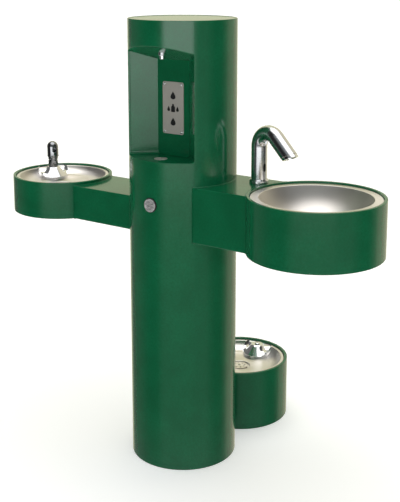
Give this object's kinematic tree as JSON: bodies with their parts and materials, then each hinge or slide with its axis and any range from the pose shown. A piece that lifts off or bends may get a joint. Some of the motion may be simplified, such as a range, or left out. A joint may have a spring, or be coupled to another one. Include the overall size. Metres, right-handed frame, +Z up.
{
  "type": "drinking fountain",
  "caption": "Outdoor post fountain with a drinking bowl, a hand-wash basin with a sensor tap, a bottle-filling alcove and a low pet bowl.",
  "frame": {"origin": "on the floor at the axis of the round post, the centre of its anchor bolt circle", "axes": "+Z up along the post, -Y towards the bottle-filling alcove, +X along the arm of the hand-wash basin, -X along the arm of the drinking bowl, +Y towards the pet bowl"},
  "size_m": [1.3045, 0.6809, 1.352],
  "materials": {
    "green_powder_coat": "gloss",
    "cap_powder_coat": "gloss",
    "satin_stainless": "satin",
    "brushed_plate": "brushed",
    "polished_chrome": "polished",
    "spun_steel": "spun",
    "black_bezel": "satin",
    "galvanised_steel": "galvanised",
    "zinc_fastener": "bright",
    "brass": "cast",
    "waste_plastic": "matte",
    "supply_hose": "gloss",
    "sensor_window": "gloss",
    "control_box_plastic": "matte",
    "handle_grip": "gloss",
    "spring_steel": "bright"
  },
  "bodies": {
    "fountain_body": {"pedestal_tube": "green_powder_coat", "pedestal_cap": "cap_powder_coat", "base_ring": "galvanised_steel", "access_door": "green_powder_coat", "access_door_screws": "zinc_fastener", "alcove_liner": "green_powder_coat", "alcove_ceiling": "green_powder_coat", "alcove_floor": "green_powder_coat", "sign_plate": "brushed_plate", "sign_plate_screws": "zinc_fastener", "filler_nozzle": "polished_chrome", "alcove_strainer": "satin_stainless", "alcove_drain_pipe": "waste_plastic", "filler_button_bezel": "black_bezel", "pet_button_bezel": "black_bezel", "left_button_bezel": "black_bezel", "filler_valve": "brass", "pet_valve": "brass", "left_valve": "brass", "button_springs": "spring_steel", "left_arm": "green_powder_coat", "right_arm": "green_powder_coat", "left_drum": "green_powder_coat", "right_drum": "green_powder_coat", "pet_drum": "green_powder_coat", "left_bottom_cover": "green_powder_coat", "right_bottom_cover": "green_powder_coat", "cover_screws": "zinc_fastener", "left_bowl": "satin_stainless", "left_bubbler_base": "polished_chrome", "left_bubbler": "polished_chrome", "left_bubbler_hood": "polished_chrome", "pet_bowl": "satin_stainless", "pet_jet_base": "polished_chrome", "pet_jet": "polished_chrome", "right_basin": "satin_stainless", "left_strainer": "satin_stainless", "pet_strainer": "satin_stainless", "right_strainer": "satin_stainless", "strainer_screws": "zinc_fastener", "faucet_spout": "polished_chrome", "faucet_aerator": "polished_chrome", "faucet_sensor": "sensor_window", "faucet_escutcheon": "polished_chrome", "lock_nuts": "brass", "control_box": "control_box_plastic", "left_waste_pipe": "waste_plastic", "right_waste_pipe": "waste_plastic", "pet_waste_pipe": "waste_plastic", "waste_stack": "waste_plastic", "supply_riser": "brass", "shutoff_valve": "brass", "filler_supply_tubes": "supply_hose", "pet_supply_tubes": "supply_hose", "left_supply_tubes": "supply_hose", "right_supply_tubes": "supply_hose"},
    "filler_push": {"filler_button": "spun_steel"},
    "left_push": {"left_button": "spun_steel"},
    "pet_push": {"pet_button": "spun_steel"},
    "shutoff_lever": {"shutoff_handle": "handle_grip"}
  },
  "joints": [
    {"name": "filler_press", "type": "slide", "parent": "fountain_body", "child": "filler_push", "axis": [0, 1, 0], "range_m": [0, 0.004], "stiffness_N_per_m": 1500, "springref_m": -0.004},
    {"name": "left_press", "type": "slide", "parent": "fountain_body", "child": "left_push", "axis": [0, -1, 0], "range_m": [0, 0.004], "stiffness_N_per_m": 1500, "springref_m": -0.004},
    {"name": "pet_press", "type": "slide", "parent": "fountain_body", "child": "pet_push", "axis": [0, -1, 0], "range_m": [0, 0.004], "stiffness_N_per_m": 1500, "springref_m": -0.004},
    {"name": "shutoff_turn", "type": "hinge", "parent": "fountain_body", "child": "shutoff_lever", "pos_m": [0.05, 0.0865, 0.46], "axis": [0, 1, 0], "range_deg": [-90, 0]}
  ]
}
